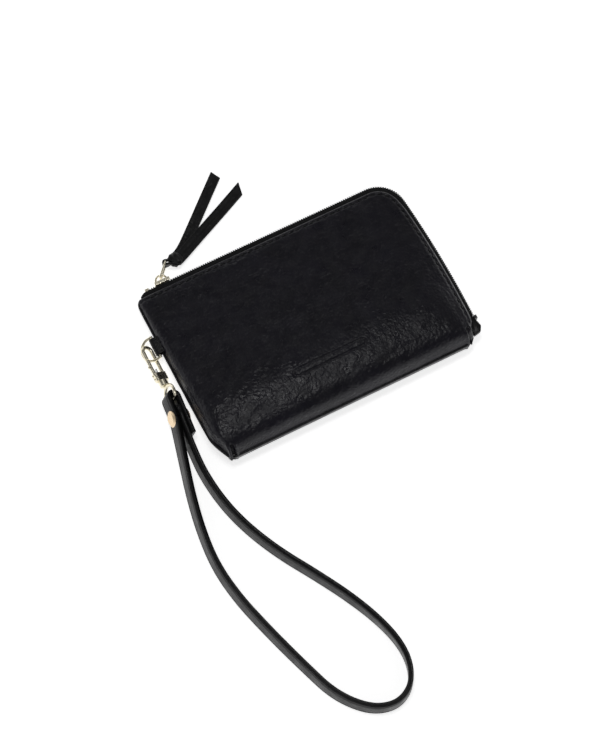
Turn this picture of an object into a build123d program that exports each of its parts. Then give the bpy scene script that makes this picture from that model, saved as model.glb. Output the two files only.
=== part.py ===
from build123d import *
import math
import os

# ---------------------------------------------------------------------------
# Wristlet wallet: a zipped leather pouch lying on its back panel, with a wrist
# strap on a snap hook.  Millimetres, +Z up, +X along the zipped top edge, +Y
# towards that edge.  The origin is on the flat face of the back panel.
# ---------------------------------------------------------------------------

# pouch outline, at the height of the seams
SEAM_X = -77.5
ZIP_X = 74.0
ZIP_Y = 51.6
BASE_Y = -53.0
CORNER_R = 16.0
LEFT_CUT = ((-77.5, -39.0), (-72.0, -53.0))
RIGHT_CUT = ((74.0, -38.0), (66.0, -53.0))

# the seams and the zip lie on one gently sloping plane
PART_Z = 4.6
PART_SLOPE = 0.047
BASE_T = 22.0
FRONT_SLOPE = 0.145

# layers
LEATHER = 1.3
TAPE = 0.45
LINING = 0.4
LAYER_GAP = 0.05
FRONT_INSET = 4.2
BACK_INSET = 2.6
COIL_W = 1.8
COIL_GAP = 0.35
COIL_TOP = 1.5
COIL_END_Y = -40.0
STOP_X = -69.8
STOP_LEN = 2.2
CLAMP_LEN = 1.8
TAPE_EDGE = 1.2
TAPE_REACH = 9.0
END_TAB_HALF_T = 1.2
END_TAB = [(71.2, -42.2), (74.4, -42.4), (75.6, -47.6), (74.0, -50.0), (70.0, -50.4)]

# rolled seams and the upright seams of the boxed corners
SEAM_R = 0.9
CORNER_SEAM_R = 0.45
CORNER_SEAM_LEN = 17.5
CORNER_SEAM_BACK = 2.2

# side tab and D-ring
TAB_Y = 20.0
RING_X = -79.5
RING_Z = 6.6
RING_WIRE_R = 0.75
RING_HALF = 5.9
RING_DEPTH = 8.6
RING_TILT = 29.0
TAB_IN_R = 0.95
TAB_OUT_R = 1.95
TAB_STITCHES = 4
TAB_STITCH_PITCH = 2.4
TAB_STITCH_LEN = 1.7
RING_CORNER = 1.2

# snap hook, in its own frame: the axis runs from the collar to the nose
HOOK_AT = Vector(-84.4, 2.0, 4.6)
HOOK_TILT = 38.0
HOOK_HALF = 2.8
HOOK_WIRE_R = 1.05
HOOK_LEN = 21.8
COLLAR_R = 2.5
COLLAR_LEN = 3.2
GATE_R = 0.95
GATE_TOP = 13.2
GATE_PIVOT = 3.0
PIN_R = 0.4
PIN_HALF = 1.8
KNUCKLE_R = 1.15
THUMB_AT = 9.0
THUMB_R = 0.85
SPRING_T = 0.35
SPRING_W = 1.4
SPRING_LEN = 2.6

# swivel eye and strap
STRAP_W = 9.4
STRAP_T = 2.5
STRAP_Z = 5.0
STRAP_TILT = 23.0
FOLD_R = STRAP_T + 0.05
EYE_BAR = Vector(-84.9, -9.8, 6.6)
EYE_WIRE_R = 0.9
EYE_HALF = 6.0
EYE_NECK = 1.4
EYE_POST_R = 0.85
EYE_HEAD_R = 1.5
RIVET_RUN = 10.6
TAIL_END = 21.5
FOLD_END = 18.5
INNER_LEAD = 6.0
RIVET_SHANK_R = 1.2
RIVET_CAP_R = 4.3
RIVET_RIM = 0.5
RIVET_DOME = 0.7
RIVET_TAPER = 58

# zip slider and pull
SLIDER_X = -60.6
SLIDER_LEN = 8.4
SLIDER_SKIN = 0.9
SLIDER_ROUND = 0.28
SLIDER_H = 5.2
SLIDER_BACK_H = 2.6
BRIDGE_HALF = 3.0
BRIDGE_RISE = 3.3
BRIDGE_R = 0.55
LINK_TURN = 47.0
LINK_LEN = 9.0
LINK_H = 4.6
LINK_WIRE_R = 0.5
TAIL_W = 6.4
TAIL_T = 1.3
TAIL_FLAT = 13.0
TAILS = [
    # far end of the centre line, and how far the cut end slants
    ((-7.8, 97.0), 4.6),
    ((0.6, 83.9), 4.6),
]

# stitches
STITCH_PITCH = 4.0
STITCH_LEN = 2.7
STITCH_R = 0.3
STITCH_INSET = 2.2

BIG = 400.0
TALL = 60


def part_z(y):
    """Height of the seam and zip plane at a given y."""
    return PART_Z + PART_SLOPE * (ZIP_Y - y)


def front_z(y):
    """Height of the flat front face at a given y."""
    return BASE_T - FRONT_SLOPE * (y + 46)


def half_space(solid, point, normal, inset):
    """Keep the part of a solid on the inner side of a plane moved in by inset."""
    n = Vector(*normal).normalized()
    origin = Vector(*point) - n * inset
    plane = Plane(origin=origin, z_dir=n)
    return solid.split(plane, keep=Keep.BOTTOM)


def outline(inset):
    """Plan view of the pouch, with its one rounded corner, as a face."""
    left = SEAM_X + inset
    right = ZIP_X - inset
    top = ZIP_Y - inset
    low = BASE_Y - 2
    radius = max(CORNER_R - inset, 2)
    edges = [
        Line((left, low), (left, top)),
        Line((left, top), (right - radius, top)),
        RadiusArc((right - radius, top), (right, top - radius), radius),
        Line((right, top - radius), (right, low)),
        Line((right, low), (left, low)),
    ]
    return make_face(Wire(edges))


def bag(inset):
    """The closed outer form of the pouch, every leather face moved in by inset."""
    solid = extrude(outline(min(inset, 0.9)), BASE_T + 4)
    faces = [
        ((0, 0, 0), (0, 0, -1)),
        ((0, -46, BASE_T), (0, FRONT_SLOPE, 1)),
        ((0, -50.5, 17), (0, -5, 4.5)),
        ((0, BASE_Y, part_z(BASE_Y)), (0, -7.6, 2.5)),
        ((0, BASE_Y, part_z(BASE_Y)), (0, -9.6, -3)),
        ((73, ZIP_Y, PART_Z + 3.5), (0.67, PART_SLOPE, 1)),
        ((SEAM_X, 47, part_z(47) + 1.5), (-1.2, PART_SLOPE + 0.06, 1)),
        ((SEAM_X, ZIP_Y, PART_Z), (-1.2, -PART_SLOPE, -1)),
        ((SEAM_X, 0, 0), (-1, 0, 0)),
    ]
    for (x1, y1), (x2, y2) in (LEFT_CUT, RIGHT_CUT):
        outward = -1 if x1 < 0 else 1
        faces.append(((x1, y1, 0), (outward * abs(y2 - y1), -abs(x2 - x1), 0)))
    for point, normal in faces:
        solid = half_space(solid, point, normal, inset)
    return solid


def above(solid, lift=0.0):
    """The part of a solid above the seam plane, raised by lift."""
    return half_space(solid, (0, ZIP_Y, PART_Z + lift), (0, -PART_SLOPE, -1), 0)


def below(solid, drop=0.0):
    """The part of a solid below the seam plane, lowered by drop."""
    return half_space(solid, (0, ZIP_Y, PART_Z - drop), (0, PART_SLOPE, 1), 0)


def within(inset_zip):
    """A tall block over the outline, held back from the zipped edges only."""
    block = extrude(outline(inset_zip), TALL)
    depth = 2 * (ZIP_Y - inset_zip)
    left_fill = Box(10, depth, TALL, align=(Align.MIN, Align.CENTER, Align.MIN))
    return Pos(0, 0, -5) * (block + Pos(SEAM_X - 2, 0, 0) * left_fill)


def ring_block(outer, inner):
    """The tall band between two insets of the outline, along the zipped edges."""
    band = extrude(outline(outer), TALL) - extrude(outline(inner), TALL)
    keep = Pos(12, 0, 0) * Box(170, 400, 200)
    cut_low = Pos(0, COIL_END_Y - 150, 0) * Box(BIG, 300, 200)
    cut_left = Pos(STOP_X + 1.3 - 50, 0, 0) * Box(100, BIG, 200)
    return Pos(0, 0, -5) * ((band & keep) - cut_low - cut_left)


def shell(outer_inset, inner_inset):
    """The skin between two nested bag forms."""
    return bag(outer_inset) - bag(inner_inset)


def solids_of(shape):
    """One compound of every separate solid in a shape."""
    found = [s for s in shape.solids() if s.volume > 0.02]
    return found[0] if len(found) == 1 else Compound(children=found)


# ------------------------------------------------------------------ panels ---
def front_panel():
    return solids_of(above(shell(0, LEATHER)) & within(FRONT_INSET))


def back_panel():
    return solids_of(below(shell(0, LEATHER)) & within(BACK_INSET))


LINING_IN = LEATHER + 2 * LAYER_GAP + TAPE


def front_lining():
    skin = above(shell(LINING_IN, LINING_IN + LINING), 0.2)
    return solids_of(skin & within(FRONT_INSET + 0.8))


def back_lining():
    skin = below(shell(LINING_IN, LINING_IN + LINING), 0.2)
    return solids_of(skin & within(FRONT_INSET + 0.8))


# --------------------------------------------------------------------- zip ---
def zip_tape_front():
    skin = above(shell(LEATHER + LAYER_GAP, LEATHER + LAYER_GAP + TAPE), COIL_TOP)
    return solids_of(skin & ring_block(TAPE_EDGE, TAPE_REACH))


def zip_tape_back():
    skin = below(shell(LEATHER + LAYER_GAP, LEATHER + LAYER_GAP + TAPE), COIL_TOP)
    flat = skin & ring_block(TAPE_EDGE, TAPE_REACH)
    wall = half_space(extrude(outline(TAPE_EDGE), TALL), (0, 0, LEATHER + LAYER_GAP), (0, 0, -1), 0)
    rim = below(wall, COIL_TOP) & ring_block(TAPE_EDGE, TAPE_EDGE + TAPE)
    return solids_of(flat + rim)


def zip_coil(side):
    band = ring_block(0, COIL_W)
    if side > 0:
        return solids_of(below(above(band, COIL_GAP), -COIL_TOP))
    return solids_of(above(below(band, COIL_GAP), -COIL_TOP))


def zip_top_stops():
    """Two small metal blocks, one on each coil, where the zip begins."""
    stops = []
    block = Box(STOP_LEN, COIL_W + 0.4, COIL_TOP - COIL_GAP - 0.1)
    for side in (1, -1):
        z = part_z(ZIP_Y) + side * (COIL_GAP + COIL_TOP) / 2
        stop = Pos(STOP_X, ZIP_Y - COIL_W / 2 + 0.2, z) * block
        stops.append(fillet(stop.edges().filter_by(Axis.X), 0.4))
    return Compound(children=stops)


def zip_bottom_stop():
    """Clamp across both coils where the zip ends."""
    y = COIL_END_Y - 1.1
    clamp = Pos(ZIP_X + 0.1, y, part_z(y)) * Box(CLAMP_LEN, CLAMP_LEN, 2 * COIL_TOP + 0.6)
    return fillet(clamp.edges().filter_by(Axis.Y), 0.5)


def zip_end_tab():
    """Folded leather end of the zip, standing out at the lower right corner."""
    z = part_z(-46)
    plan = make_face(Polyline(END_TAB, close=True))
    tab = Pos(0, 0, z) * extrude(plan, END_TAB_HALF_T, both=True)
    return solids_of(tab - bag(-LAYER_GAP))


# ----------------------------------------------------------------- stitches ---
def stitch(x, y, z, direction):
    """One stitch: a short rod with its long side along a direction."""
    half = Vector(*direction).normalized() * (STITCH_LEN / 2)
    centre = Vector(x, y, z)
    plane = Plane(origin=centre - half, z_dir=half)
    return extrude(plane * Circle(STITCH_R), STITCH_LEN)


def edge_stitches(rim_inset, height):
    """Stitches along the zipped edges: the top, the round corner and the side."""
    inset = rim_inset + STITCH_INSET
    top = ZIP_Y - inset
    side = ZIP_X - inset
    radius = CORNER_R - inset
    centre_x = side - radius
    centre_y = top - radius
    rods = []
    top_count = int((centre_x + 71) // STITCH_PITCH)
    for i in range(top_count):
        x = centre_x - STITCH_PITCH * (i + 0.5)
        rods.append(stitch(x, top, height(x, top), (1, 0, 0)))
    steps = round(radius * math.pi / 2 / STITCH_PITCH)
    for i in range(steps):
        a = math.pi / 2 * (i + 0.5) / steps
        x = centre_x + radius * math.sin(a)
        y = centre_y + radius * math.cos(a)
        rods.append(stitch(x, y, height(x, y), (math.cos(a), -math.sin(a), 0)))
    side_count = int((centre_y + 40) // STITCH_PITCH)
    for i in range(side_count):
        y = centre_y - STITCH_PITCH * (i + 0.5)
        drop = height(side, y - 1) - height(side, y + 1)
        rods.append(stitch(side, y, height(side, y), (0, -2, drop)))
    return Compound(children=rods)


def front_skin_z(x, y):
    flat = front_z(y)
    bevel = part_z(y) + 3.5 + 0.67 * (73 - x)
    return min(flat, bevel) + STITCH_R + 0.12


def front_stitching():
    return edge_stitches(FRONT_INSET, front_skin_z)


def side_seam_cord():
    """Rolled edge that closes the left side seam."""
    start = Vector(SEAM_X, 44, part_z(44))
    end = Vector(SEAM_X, LEFT_CUT[0][1], part_z(LEFT_CUT[0][1]))
    run = end - start
    rod = extrude(Plane(origin=start, z_dir=run) * Circle(SEAM_R), run.length)
    rod -= Pos(SEAM_X + 5, 0, 0) * Box(10, BIG, BIG)
    return solids_of(rod - Pos(SEAM_X, TAB_Y, RING_Z) * Box(6, 2 * RING_HALF - 1.8, 12))


def bottom_seam_cord():
    """Rolled edge of the bottom seam, between the two boxed corners."""
    z = part_z(BASE_Y)
    start = Vector(LEFT_CUT[1][0] + 1, BASE_Y, z)
    length = RIGHT_CUT[1][0] - 1 - start.X
    rod = extrude(Plane(origin=start, z_dir=(1, 0, 0)) * Circle(SEAM_R), length)
    return rod - Pos(0, BASE_Y + 5, z) * Box(BIG, 10, 20)


def corner_seam(cut):
    """Upright seam of one boxed corner, standing just off the leather."""
    (x1, y1), (x2, y2) = cut
    away = Vector(-abs(y2 - y1) if x1 < 0 else abs(y2 - y1), -abs(x2 - x1), 0).normalized()
    at = Vector(x2, y2 + CORNER_SEAM_BACK, 0) + away * (CORNER_SEAM_R + LAYER_GAP)
    standing = (Align.CENTER, Align.CENTER, Align.MIN)
    rod = Pos(at.X, at.Y, 1.0) * Cylinder(CORNER_SEAM_R, CORNER_SEAM_LEN, align=standing)
    return solids_of(rod - bag(0))


# --------------------------------------------------------- tab and D-ring ---
def ring_point(u, v):
    """A point of the D-ring, u out from its straight bar and v along it."""
    a = math.radians(RING_TILT)
    return Vector(RING_X - u * math.cos(a), TAB_Y + v, RING_Z - u * math.sin(a))


def rod_between(a, b, radius):
    run = b - a
    return extrude(Plane(origin=a, z_dir=run) * Circle(radius), run.length)


def ball(at, radius):
    return Pos(at.X, at.Y, at.Z) * Sphere(radius)


def swept(path, radius):
    """A round wire along one path."""
    section = Plane(origin=path @ 0, z_dir=path % 0) * Circle(radius)
    return sweep(section, path)


def d_ring():
    """Wire ring with a straight bar in the leather loop and a round bow outside it."""
    low = ring_point(0, -RING_HALF)
    high = ring_point(0, RING_HALF)
    bow_low = ring_point(RING_CORNER, -RING_HALF)
    bow_high = ring_point(RING_CORNER, RING_HALF)
    bow = ThreePointArc(bow_low, ring_point(RING_DEPTH, 0), bow_high)
    ring = rod_between(low, high, RING_WIRE_R) + swept(bow, RING_WIRE_R)
    for corner, foot in ((low, bow_low), (high, bow_high)):
        ring += rod_between(corner, foot, RING_WIRE_R)
        ring += ball(corner, RING_WIRE_R) + ball(foot, RING_WIRE_R)
    return ring


def d_ring_tab():
    """Leather loop that holds the D-ring on the side seam."""
    width = 2 * RING_HALF - 2 * RING_WIRE_R - 0.6
    from_left = (Align.MIN, Align.CENTER, Align.CENTER)
    ring = Pos(RING_X, RING_Z) * (Circle(TAB_OUT_R) - Circle(TAB_IN_R))
    loop = extrude(Plane.XZ.offset(-(TAB_Y - width / 2)) * ring, -width)
    loop -= Pos(RING_X, TAB_Y, RING_Z) * Box(5, 30, 8, align=from_left)
    leaf_h = TAB_OUT_R - TAB_IN_R
    leaf_len = SEAM_X - RING_X
    for side in (1, -1):
        z = RING_Z + side * (TAB_IN_R + leaf_h / 2)
        loop += Pos(RING_X, TAB_Y, z) * Box(leaf_len, width, leaf_h, align=from_left)
    return loop


def tab_stitches():
    """Short stitches across the tab, next to the side seam."""
    rods = []
    z = RING_Z + TAB_OUT_R + STITCH_R * 1.4 + 0.02
    for i in range(TAB_STITCHES):
        y = TAB_Y + (i - (TAB_STITCHES - 1) / 2) * TAB_STITCH_PITCH
        rods.append(Pos(SEAM_X - 0.7, y, z) * Box(0.5, TAB_STITCH_LEN, 2 * STITCH_R))
    return Compound(children=rods)


# --------------------------------------------------------------- snap hook ---
HOOK_IN = Vector(-math.cos(math.radians(HOOK_TILT)), 0, math.sin(math.radians(HOOK_TILT)))


def hook_point(along, across, normal=0.0):
    """A point of the hook: along its axis, across towards the gate, and normal."""
    out = Vector(0, 1, 0).cross(HOOK_IN)
    return HOOK_AT + Vector(0, 1, 0) * along + HOOK_IN * across + out * normal


def hook_plane(along, across=0.0):
    """A plane square to the hook's axis, its x towards the gate."""
    return Plane(origin=hook_point(along, across), x_dir=HOOK_IN, z_dir=(0, 1, 0))


def pivot_point(normal):
    """A point on the gate's hinge axis."""
    return hook_point(GATE_PIVOT, HOOK_HALF, normal)


def snap_hook():
    """Hook body: spine, crown and nose in one wire, on a slotted block and a collar."""
    half = HOOK_HALF
    spine_top = HOOK_LEN - HOOK_WIRE_R - half
    spine = rod_between(hook_point(2.2, -half), hook_point(spine_top, -half), HOOK_WIRE_R)
    crown = ThreePointArc(
        hook_point(spine_top, -half),
        hook_point(spine_top + half, 0),
        hook_point(spine_top, half),
    )
    body = spine + swept(crown, HOOK_WIRE_R)
    body += rod_between(hook_point(spine_top, half), hook_point(GATE_TOP + 0.4, half), HOOK_WIRE_R)
    block = extrude(hook_plane(0.4) * RectangleRounded(2 * half + 2.2, 3.6, 1.2), 4.4)
    slot = extrude(hook_plane(1.6, half) * Rectangle(3.6, 2.2), 6)
    body += block - slot
    body += extrude(hook_plane(-COLLAR_LEN + 0.4) * Circle(COLLAR_R), COLLAR_LEN)
    bore = extrude(hook_plane(-COLLAR_LEN) * Circle(1.0), COLLAR_LEN + 0.6)
    cavity = extrude(hook_plane(-1.2) * Circle(1.7), 1.5)
    pin_bore = rod_between(pivot_point(-3), pivot_point(3), PIN_R + 0.01)
    return body - bore - cavity - pin_bore


def gate_pin():
    return rod_between(pivot_point(-PIN_HALF), pivot_point(PIN_HALF), PIN_R)


def hook_gate():
    """Sprung lever that closes the hook, with a knuckle on its pin and a thumb bead."""
    tip = hook_point(GATE_TOP, HOOK_HALF)
    lever = rod_between(hook_point(GATE_PIVOT, HOOK_HALF), tip, GATE_R)
    lever += rod_between(pivot_point(-1.0), pivot_point(1.0), KNUCKLE_R)
    lever += ball(hook_point(THUMB_AT, HOOK_HALF + 1.0), THUMB_R)
    return lever - rod_between(pivot_point(-2), pivot_point(2), PIN_R + 0.1)


def gate_spring():
    """Bent leaf that pushes the gate shut, seated in the body's slot."""
    return extrude(hook_plane(4.9, 0.6) * Rectangle(SPRING_T, SPRING_W), SPRING_LEN)


# -------------------------------------------------------------- swivel eye ---
STRAP_DIR = Vector(-0.08, -1, 0).normalized()
OUT_FLAT = Vector(0, 0, 1).cross(STRAP_DIR) * -1
TILT_A = math.radians(STRAP_TILT)
STRAP_FACE = OUT_FLAT * math.cos(TILT_A) + Vector(0, 0, 1) * math.sin(TILT_A)
EYE_AXIS = Vector(0, 0, 1) * math.cos(TILT_A) - OUT_FLAT * math.sin(TILT_A)


def swivel_eye():
    """Round post in the hook's collar, with the bail that carries the strap."""
    shoulder = hook_point(0.4 - COLLAR_LEN - EYE_NECK, 0)
    head = extrude(hook_plane(-1.0) * Circle(EYE_HEAD_R), 1.0)
    post = rod_between(shoulder, hook_point(-0.6, 0), EYE_POST_R)
    top = EYE_BAR + EYE_AXIS * EYE_HALF
    low = EYE_BAR - EYE_AXIS * EYE_HALF
    bail = ThreePointArc(top, shoulder, low)
    eye = rod_between(low, top, EYE_WIRE_R) + swept(bail, EYE_WIRE_R)
    eye += ball(top, EYE_WIRE_R * 1.05) + ball(low, EYE_WIRE_R * 1.05)
    return eye + post + head


# ------------------------------------------------------------- wrist strap ---
STRAP_ROUTE = [
    (-93.2, -40), (-98.4, -60), (-102, -79.5), (-103.4, -99), (-100.8, -118), (-96.4, -134.5),
    (-91.4, -151), (-86.4, -166), (-81.5, -180), (-74, -191), (-65, -198.4), (-54.5, -200.4),
    (-45.4, -195.5), (-40.6, -185.5), (-40.4, -173), (-44.6, -158), (-52, -141.5), (-61.8, -124),
    (-71.8, -107.5), (-80, -90), (-85.3, -73), (-87.8, -55), (-87.4, -40),
]


def arc_radii(points):
    """The largest smooth radius at each inner point of a route."""
    radii = []
    for a, b, c in zip(points, points[1:], points[2:]):
        run_in = Vector(*b) - Vector(*a)
        run_out = Vector(*c) - Vector(*b)
        turn = math.radians(run_in.get_angle(run_out))
        shorter = min(run_in.length, run_out.length)
        radii.append(0.45 * shorter / math.tan(turn / 2))
    return radii


def fold_frame():
    """The tilted plane that the folded end of the strap lies in."""
    return Plane(origin=EYE_BAR, x_dir=STRAP_DIR, z_dir=EYE_AXIS)


def outward():
    """Which way the outer strand lies from the fold's middle line, +1 or -1."""
    return 1 if fold_frame().y_dir.dot(STRAP_FACE) > 0 else -1


def strap_fold():
    """Tail, fold round the bar and first run of the strap, all in one tilted plane."""
    near = -outward() * FOLD_R
    path = Wire([
        Line((TAIL_END, near), (0, near)),
        ThreePointArc((0, near), (-FOLD_R, 0), (0, -near)),
        Line((0, -near), (FOLD_END, -near)),
    ])
    band = extrude(trace(path, STRAP_T), STRAP_W / 2, both=True)
    inner_start = RIVET_RUN - INNER_LEAD
    inner = Box(
        FOLD_END - inner_start,
        STRAP_T - 0.04,
        STRAP_W,
        align=(Align.MIN, Align.CENTER, Align.CENTER),
    )
    return fold_frame() * (band + Pos(inner_start, 0, 0) * inner)


def strap_points():
    """Route of the free loop: off the outer layer, round, and back to the middle one."""
    frame = fold_frame()
    leave = frame.from_local_coords(Vector(FOLD_END - 3, outward() * (FOLD_R + 0.3), 0))
    come_back = frame.from_local_coords(Vector(FOLD_END - 3, -outward() * 0.3, 0))
    return [(leave.X, leave.Y)] + STRAP_ROUTE + [(come_back.X, come_back.Y)]


def wrist_strap():
    """The folded end and the free loop as one band, with the rivet's hole through it."""
    points = [(x, y, 0) for x, y in strap_points()]
    radii = arc_radii(points)
    path = FilletPolyline(*points, radius=radii)
    loop = Pos(0, 0, STRAP_Z - STRAP_W / 2) * extrude(trace(path, STRAP_T), STRAP_W)
    print("strap loop length", round(path.length, 1), "least radius", round(min(radii), 1))
    hole = Pos(RIVET_RUN, 0, 0) * Rot(90, 0, 0) * Cylinder(RIVET_SHANK_R + 0.05, 30)
    return solids_of(strap_fold() + loop - fold_frame() * hole)


def rivet_part(side):
    """One half of the rivet: a low domed cap, and the shank on one of them."""
    frame = fold_frame()
    direction = side * outward()
    face = FOLD_R + STRAP_T / 2 + 0.05
    base = Plane(
        origin=frame.from_local_coords(Vector(RIVET_RUN, direction * face, 0)),
        z_dir=frame.y_dir * direction,
    )
    disc = extrude(base * Circle(RIVET_CAP_R), RIVET_RIM)
    dome = extrude(base.offset(RIVET_RIM) * Circle(RIVET_CAP_R), RIVET_DOME, taper=RIVET_TAPER)
    cap = disc + dome
    if side > 0:
        cap += extrude(base * Circle(RIVET_SHANK_R), -(2 * face - 0.05))
    return cap


# ---------------------------------------------------------- slider and pull ---
SLIDER_Z = PART_Z


def slider_plate(length, depth, height, x, y, z):
    """One rounded plate of the slider, from a corner at x, y and centred on z."""
    plate = Pos(x, y, z) * Box(length, depth, height, align=(Align.MIN, Align.MIN, Align.CENTER))
    return fillet(plate.edges(), SLIDER_ROUND)


def slider_body():
    """Face and back plates either side of the coils, joined by a post, with two flanges."""
    x0 = SLIDER_X - SLIDER_LEN / 2
    back_y = ZIP_Y - COIL_W - 1.2
    body = slider_plate(SLIDER_LEN, SLIDER_SKIN, SLIDER_H, x0, ZIP_Y + 0.3, SLIDER_Z)
    body += slider_plate(SLIDER_LEN - 1.2, SLIDER_SKIN, SLIDER_BACK_H, x0 + 0.6, back_y, SLIDER_Z)
    body += Pos(SLIDER_X, ZIP_Y - COIL_W / 2, SLIDER_Z) * Box(2.4, COIL_W + 1.4, 0.4)
    for side in (1, -1):
        body += slider_plate(SLIDER_LEN, 1.9, 0.7, x0, ZIP_Y - 0.7, SLIDER_Z + side * 2.25)
    return body


def slider_crown():
    """Bridge on the slider's face that the pull's link runs under."""
    y = ZIP_Y + 1.2
    bow = ThreePointArc(
        (SLIDER_X - BRIDGE_HALF, y, SLIDER_Z),
        (SLIDER_X, y + BRIDGE_RISE, SLIDER_Z),
        (SLIDER_X + BRIDGE_HALF, y, SLIDER_Z),
    )
    behind = Box(20, 4, 4, align=(Align.CENTER, Align.MAX, Align.CENTER))
    return swept(bow, BRIDGE_R) - Pos(SLIDER_X, y, SLIDER_Z) * behind


LINK_AT = Vector(SLIDER_X, ZIP_Y + 1.2 + 1.55, SLIDER_Z)
LINK_DIR = Vector(math.cos(math.radians(LINK_TURN)), math.sin(math.radians(LINK_TURN)), 0)
PULL_AT = LINK_AT + LINK_DIR * LINK_LEN


def pull_link():
    """Upright wire link between the slider's bridge and the leather pull."""
    half = LINK_H / 2
    up = Vector(0, 0, half)
    corners = [LINK_AT - up, LINK_AT + up, PULL_AT + up, PULL_AT - up]
    link = ball(corners[0], LINK_WIRE_R)
    for a, b in zip(corners, corners[1:] + corners[:1]):
        link += rod_between(a, b, LINK_WIRE_R) + ball(b, LINK_WIRE_R)
    return link


def zip_pull():
    """Leather strip knotted on the link, its two tails side by side in a V."""
    ring = extrude(Plane(origin=PULL_AT - Vector(0, 0, 1.0)) * (Circle(1.75) - Circle(0.65)), 2.0)
    pull = ring
    for (x, y), slant in TAILS:
        end = Vector(x, y, 0)
        run = end - Vector(PULL_AT.X, PULL_AT.Y, 0)
        ahead = run.normalized()
        aside = Vector(0, 0, 1).cross(ahead)
        root = PULL_AT + ahead * 1.2
        laid = Vector(PULL_AT.X, PULL_AT.Y, 0.35 + TAIL_T / 2) + ahead * TAIL_FLAT
        narrow = Plane(origin=root, x_dir=aside, z_dir=ahead) * Rectangle(1.4, 2.0)
        wide = Plane(origin=laid, x_dir=aside, z_dir=ahead) * Rectangle(TAIL_W, TAIL_T)
        pull += loft([narrow, wide], ruled=True)
        length = run.length - TAIL_FLAT
        half = TAIL_W / 2
        corners = [(0, -half), (length - slant, -half), (length, half), (0, half)]
        strip = Plane(origin=laid - Vector(0, 0, TAIL_T / 2), x_dir=ahead, z_dir=(0, 0, 1))
        pull += extrude(strip * make_face(Polyline(corners, close=True)), TAIL_T)
    clear = Pos(PULL_AT.X, PULL_AT.Y, PULL_AT.Z) * Cylinder(0.65, 30)
    return solids_of(pull - clear)


# ------------------------------------------------------------------- write ---
NODES = {
    "front_panel": front_panel,
    "back_panel": back_panel,
    "front_lining": front_lining,
    "back_lining": back_lining,
    "zip_tape_front": zip_tape_front,
    "zip_tape_back": zip_tape_back,
    "zip_coil_front": lambda: zip_coil(1),
    "zip_coil_back": lambda: zip_coil(-1),
    "zip_top_stops": zip_top_stops,
    "zip_bottom_stop": zip_bottom_stop,
    "zip_end_tab": zip_end_tab,
    "front_edge_stitching": front_stitching,
    "side_seam": side_seam_cord,
    "bottom_seam": bottom_seam_cord,
    "left_corner_seam": lambda: corner_seam(LEFT_CUT),
    "right_corner_seam": lambda: corner_seam(RIGHT_CUT),
    "d_ring_tab": d_ring_tab,
    "tab_stitches": tab_stitches,
    "d_ring": d_ring,
    "snap_hook_body": snap_hook,
    "hook_gate": hook_gate,
    "gate_pin": gate_pin,
    "gate_spring": gate_spring,
    "swivel_eye": swivel_eye,
    "wrist_strap": wrist_strap,
    "strap_rivet": lambda: rivet_part(1),
    "rivet_back_cap": lambda: rivet_part(-1),
    "slider_body": slider_body,
    "slider_bridge": slider_crown,
    "pull_link": pull_link,
    "zip_pull": zip_pull,
}


def main():
    os.makedirs("parts", exist_ok=True)
    for name, make in NODES.items():
        export_step(make(), f"parts/{name}.step")


main()
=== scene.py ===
import math

import bmesh
import bpy
import numpy as np
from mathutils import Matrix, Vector, noise


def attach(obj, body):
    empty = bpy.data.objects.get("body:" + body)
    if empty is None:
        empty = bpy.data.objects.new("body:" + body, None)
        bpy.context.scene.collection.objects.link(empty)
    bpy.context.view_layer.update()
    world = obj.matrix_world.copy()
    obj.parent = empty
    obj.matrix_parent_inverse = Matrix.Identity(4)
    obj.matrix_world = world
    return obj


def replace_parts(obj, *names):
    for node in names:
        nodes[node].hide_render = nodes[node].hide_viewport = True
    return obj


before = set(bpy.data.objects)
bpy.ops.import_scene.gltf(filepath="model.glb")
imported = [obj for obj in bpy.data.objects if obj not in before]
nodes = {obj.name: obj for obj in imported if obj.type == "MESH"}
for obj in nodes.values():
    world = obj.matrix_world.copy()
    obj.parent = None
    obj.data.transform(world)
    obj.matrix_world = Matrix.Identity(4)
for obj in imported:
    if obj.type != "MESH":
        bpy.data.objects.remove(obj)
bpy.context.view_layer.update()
MM = 0.001
UP = np.array([0.0, 0.0, 1.0])
SLANT_REACH = 9.0

# ------------------------------------------------------------------ camera ---
camera_data = bpy.data.cameras.new("camera")
camera_data.lens = 100.0
camera_data.sensor_width = 36.0
camera = bpy.data.objects.new("camera", camera_data)
bpy.context.collection.objects.link(camera)
CAMERA_PLACE = (-0.194004, -0.368136, 1.002556)
CAMERA_TARGET = Vector((-0.019288, -0.025236, 0.0))
camera.location = CAMERA_PLACE
camera.rotation_euler = (CAMERA_TARGET - camera.location).to_track_quat("-Z", "Y").to_euler()
bpy.context.scene.camera = camera


# ----------------------------------------------------------------- helpers ---
def mesh_object(name, points, faces, material):
    """A new piece from points in millimetres, with its faces turned outwards."""
    mesh = bpy.data.meshes.new(name)
    mesh.from_pydata([tuple(p) for p in np.asarray(points) * MM], [], faces)
    work = bmesh.new()
    work.from_mesh(mesh)
    bmesh.ops.remove_doubles(work, verts=work.verts, dist=1e-7)
    bmesh.ops.recalc_face_normals(work, faces=work.faces)
    work.to_mesh(mesh)
    work.free()
    mesh.materials.append(material)
    mesh.shade_smooth()
    piece = bpy.data.objects.new(name, mesh)
    bpy.context.collection.objects.link(piece)
    return piece


def join(parts):
    """Points and faces of several (points, faces) pairs as one pair."""
    points, faces = [], []
    for some_points, some_faces in parts:
        start = len(points)
        points.extend(some_points)
        faces.extend([tuple(i + start for i in face) for face in some_faces])
    return points, faces


def unit(v):
    v = np.asarray(v, float)
    return v / np.maximum(np.linalg.norm(v, axis=-1, keepdims=True), 1e-12)


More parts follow.
